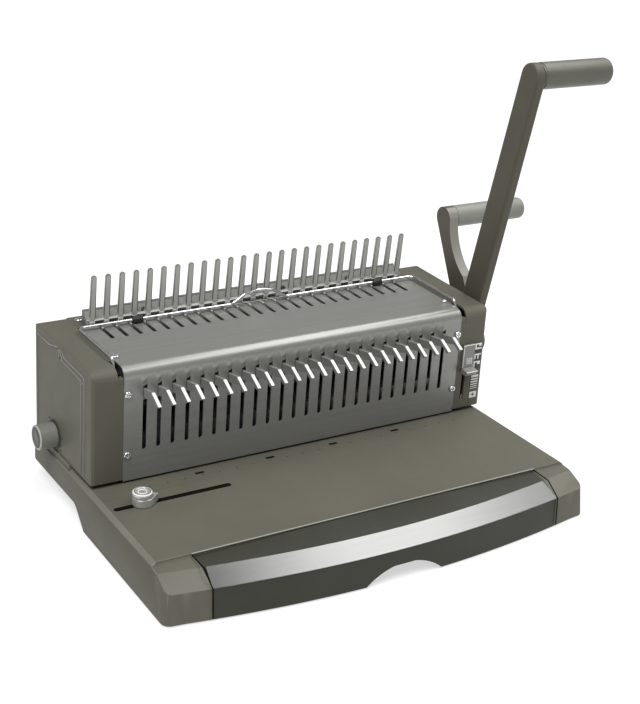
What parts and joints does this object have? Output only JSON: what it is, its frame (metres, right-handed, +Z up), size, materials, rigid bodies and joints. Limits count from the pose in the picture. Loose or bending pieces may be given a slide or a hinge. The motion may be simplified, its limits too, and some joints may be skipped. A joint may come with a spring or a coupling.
{
  "type": "plastic comb punching and binding machine",
  "caption": "Desktop comb binder: long lever punches a row of slots through a paper throat, short lever opens a plastic comb on hooks; drawer head below.",
  "frame": {"origin": "middle of the part's box, on the surface that it stands on", "axes": "+X along the row of comb holes towards the levers, +Y rearwards, +Z up"},
  "size_m": [0.57, 0.3228, 0.407],
  "materials": {
    "housing_plastic": "fine-grained satin",
    "lever_paint": "fine-grained satin paint",
    "grip_plastic": "smooth satin",
    "short_grip_plastic": "smooth satin",
    "brushed_cover": "brushed along the row",
    "chrome_wire": "polished",
    "finger_steel": "nickel plated satin",
    "guard_steel": "pale grey satin",
    "zinc_plate": "zinc plated",
    "tool_steel": "ground",
    "bronze_bush": "sintered",
    "dark_screw": "blackened",
    "black_plastic": "satin",
    "knob_plastic": "satin",
    "polished_metal": "polished",
    "sleeve_rubber": "matt",
    "foot_rubber": "matt",
    "drawer_plastic": "semi-gloss",
    "silver_trim": "silver metallic"
  },
  "bodies": {
    "frame": {"base_shell": "housing_plastic", "front_bottom_plate": "zinc_plate", "rear_bottom_plate": "zinc_plate", "front_feet": "foot_rubber", "rear_legs": "housing_plastic", "rear_pads": "foot_rubber", "base_screws": "dark_screw", "left_end_cap": "housing_plastic", "right_end_cap": "housing_plastic", "rear_housing": "housing_plastic", "cover_sheet": "brushed_cover", "cover_screws": "chrome_wire", "finger_plate": "finger_steel", "rear_guard": "guard_steel", "guard_screws": "dark_screw", "left_frame_plate": "zinc_plate", "right_frame_plate": "zinc_plate", "die_plate": "tool_steel", "stripper_plate": "tool_steel", "die_spacers": "tool_steel", "die_screws": "dark_screw", "tie_rods": "zinc_plate", "shaft_bushes": "bronze_bush", "scale_panel": "black_plastic", "return_springs": "chrome_wire"},
    "punch_lever": {"punch_arm": "lever_paint", "punch_grip": "grip_plastic", "punch_grip_stud": "zinc_plate", "punch_tube": "tool_steel", "eccentrics": "tool_steel"},
    "punch_ram": {"punch_bar": "tool_steel", "punch_pins": "tool_steel"},
    "bind_lever": {"bind_arm": "lever_paint", "bind_grip": "short_grip_plastic", "bind_grip_stud": "zinc_plate", "bind_shaft": "tool_steel", "hook_sector": "tool_steel", "top_pinion": "tool_steel", "lever_washer": "zinc_plate", "lever_cap": "lever_paint"},
    "front_hook_carriage": {"hook_carriage": "zinc_plate", "front_hooks": "finger_steel"},
    "top_hook_carriage": {"top_carriage": "zinc_plate", "top_hooks": "finger_steel"},
    "margin_control": {"margin_knob": "knob_plastic", "margin_shaft": "zinc_plate"},
    "margin_stop_bar": {"margin_stop": "zinc_plate"},
    "edge_guide_slider": {"edge_guide": "polished_metal", "guide_nut": "zinc_plate"},
    "guide_clamp": {"guide_knob": "polished_metal"},
    "comb_size_selector": {"size_selector": "black_plastic", "selector_tab": "black_plastic"},
    "wire_bail": {"bail_rod": "chrome_wire", "bail_sleeves": "sleeve_rubber"},
    "chip_tray": {"chip_drawer": "drawer_plastic", "drawer_trim": "silver_trim"}
  },
  "joints": [
    {"name": "punch_lever_swing", "type": "hinge", "parent": "frame", "child": "punch_lever", "pos_m": [0, 0.07289, 0.1005], "axis": [1, 0, 0], "range_deg": [0, 75], "stiffness_Nm_per_rad": 5, "springref_deg": -17.19},
    {"name": "punch_ram_slide", "type": "slide", "parent": "frame", "child": "punch_ram", "axis": [0, 0, -1], "range_m": [0, 0.0086], "deforming": ["return_springs"]},
    {"name": "bind_lever_swing", "type": "hinge", "parent": "frame", "child": "bind_lever", "pos_m": [0, 0.07289, 0.1005], "axis": [1, 0, 0], "range_deg": [0, 72]},
    {"name": "front_hook_slide", "type": "slide", "parent": "frame", "child": "front_hook_carriage", "axis": [0, 0, -1], "range_m": [0, 0.0453]},
    {"name": "top_hook_slide", "type": "slide", "parent": "frame", "child": "top_hook_carriage", "axis": [0, -1, 0], "range_m": [0, 0.0239]},
    {"name": "margin_knob_turn", "type": "hinge", "parent": "frame", "child": "margin_control", "pos_m": [-0.281, 0.11139, 0.062], "axis": [1, 0, 0], "range_deg": [-50, 50]},
    {"name": "margin_stop_slide", "type": "slide", "parent": "frame", "child": "margin_stop_bar", "axis": [0, 1, 0], "range_m": [-0.00192, 0.00192]},
    {"name": "edge_guide_slide", "type": "slide", "parent": "frame", "child": "edge_guide_slider", "axis": [1, 0, 0], "range_m": [-0.02, 0.08]},
    {"name": "guide_knob_turn", "type": "hinge", "parent": "edge_guide_slider", "child": "guide_clamp", "pos_m": [-0.236, -0.01361, 0.0535], "axis": [0, 0, 1], "range_deg": [0, 180]},
    {"name": "size_selector_slide", "type": "slide", "parent": "frame", "child": "comb_size_selector", "axis": [0, 0, 1], "range_m": [-0.028, 0]},
    {"name": "bail_swing", "type": "hinge", "parent": "frame", "child": "wire_bail", "pos_m": [0, 0.03939, 0.1475], "axis": [1, 0, 0], "range_deg": [0, 95]},
    {"name": "chip_tray_slide", "type": "slide", "parent": "frame", "child": "chip_tray", "axis": [0, -1, 0], "range_m": [0, 0.15]}
  ],
  "couplings": [
    {"joint": "punch_ram_slide", "follows": "punch_lever_swing", "m_per_rad": 0.00651},
    {"joint": "front_hook_slide", "follows": "bind_lever_swing", "m_per_rad": 0.036},
    {"joint": "top_hook_slide", "follows": "bind_lever_swing", "m_per_rad": 0.019},
    {"joint": "margin_stop_slide", "follows": "margin_knob_turn", "m_per_rad": -0.0021945}
  ]
}
